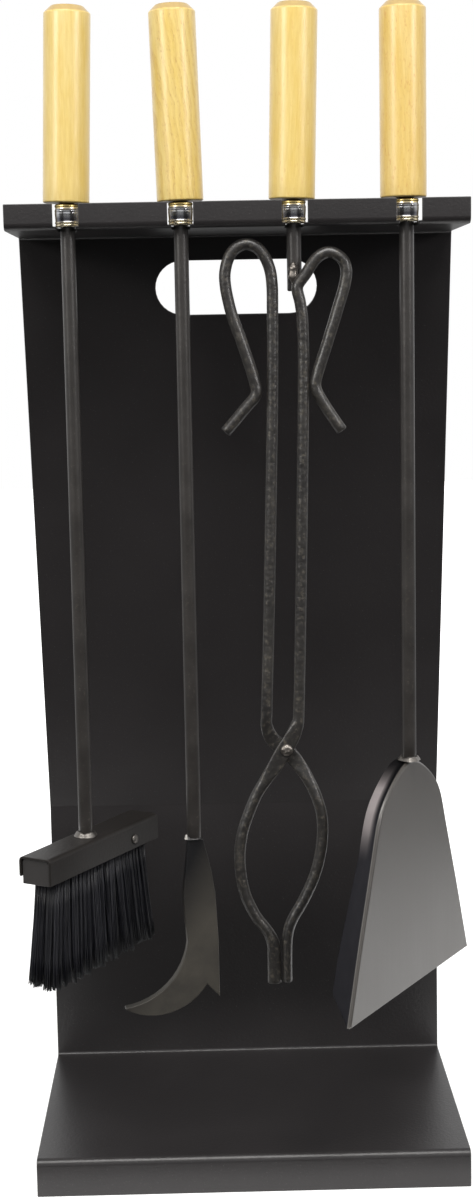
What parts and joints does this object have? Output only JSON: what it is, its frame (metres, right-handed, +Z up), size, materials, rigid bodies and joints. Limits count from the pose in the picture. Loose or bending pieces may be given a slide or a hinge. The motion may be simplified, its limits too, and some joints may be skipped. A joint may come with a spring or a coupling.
{
  "type": "fireplace tool set",
  "caption": "Fireside companion set: brush, poker, tongs and shovel with turned wooden handles, hanging from the slotted shelf of a bent black sheet-steel stand.",
  "frame": {"origin": "middle of the lower edge of the base's front lip, the plane on which the stand rests", "axes": "+X to the right as seen from the front, +Y to the back, from the front lip to the back panel, +Z up"},
  "size_m": [0.2609, 0.2177, 0.6642],
  "materials": {
    "stand_coat": "satin black powder coat, fine grained",
    "wood": "pale straight-grained wood under clear gloss varnish",
    "chrome": "polished chrome",
    "rod_coat": "satin black coat on round rod",
    "cover_paint": "satin warm black coat on folded sheet",
    "block_plastic": "matte dark plastic",
    "bristle": "stiff black synthetic bristles",
    "bright_steel": "bright bare steel weld and rivet metal",
    "weld_metal": "dark weld and rivet metal",
    "blade_steel": "matte dark grey steel plate",
    "hammered_paint": "hammered black paint, finely dimpled",
    "pan_steel": "satin grey coat on pressed sheet"
  },
  "bodies": {
    "stand": {"stand_sheet": "stand_coat", "rear_foot": "stand_coat"},
    "brush_collar": {"brush_ferrule": "chrome"},
    "brush": {"brush_handle": "wood", "brush_rod": "rod_coat", "brush_weld": "bright_steel", "brush_cover": "cover_paint", "brush_block": "block_plastic", "brush_rivet": "bright_steel", "brush_bristles": "bristle"},
    "poker_collar": {"poker_ferrule": "chrome"},
    "poker": {"poker_handle": "wood", "poker_rod": "rod_coat", "poker_weld": "weld_metal", "poker_blade": "blade_steel"},
    "tongs_collar": {"tongs_ferrule": "chrome"},
    "tongs": {"tongs_handle": "wood", "tongs_rod": "rod_coat", "tongs_weld": "weld_metal", "tongs_arm_right": "hammered_paint", "tongs_rivet": "weld_metal"},
    "shovel_collar": {"shovel_ferrule": "chrome"},
    "shovel": {"shovel_handle": "wood", "shovel_rod": "rod_coat", "shovel_weld": "bright_steel", "shovel_pan": "pan_steel"},
    "tongs_left_arm": {"tongs_arm_left": "hammered_paint"}
  },
  "joints": [
    {"name": "brush_draw_out", "type": "slide", "parent": "stand", "child": "brush_collar", "axis": [0, -0.9945, 0.1045], "range_m": [0, 0.16]},
    {"name": "brush_turn", "type": "hinge", "parent": "brush_collar", "child": "brush", "pos_m": [-0.09195, 0.0144, 0.55], "axis": [0, 0, 1], "range_deg": [-30, 60]},
    {"name": "poker_draw_out", "type": "slide", "parent": "stand", "child": "poker_collar", "axis": [0, -0.9945, 0.1045], "range_m": [0, 0.16]},
    {"name": "poker_turn", "type": "hinge", "parent": "poker_collar", "child": "poker", "pos_m": [-0.03065, 0.0144, 0.55], "axis": [0, 0, 1], "range_deg": [-60, 60]},
    {"name": "tongs_draw_out", "type": "slide", "parent": "stand", "child": "tongs_collar", "axis": [0, -0.9945, 0.1045], "range_m": [0, 0.16]},
    {"name": "tongs_turn", "type": "hinge", "parent": "tongs_collar", "child": "tongs", "pos_m": [0.03065, 0.0144, 0.55], "axis": [0, 0, 1], "range_deg": [-60, 60]},
    {"name": "shovel_draw_out", "type": "slide", "parent": "stand", "child": "shovel_collar", "axis": [0, -0.9945, 0.1045], "range_m": [0, 0.16]},
    {"name": "shovel_turn", "type": "hinge", "parent": "shovel_collar", "child": "shovel", "pos_m": [0.09195, 0.0144, 0.55], "axis": [0, 0, 1], "range_deg": [-18, 60]},
    {"name": "tongs_open", "type": "hinge", "parent": "tongs", "child": "tongs_left_arm", "pos_m": [0.02225, 0.00685, 0.2586], "axis": [0, -1, 0], "range_deg": [0, 22]}
  ]
}
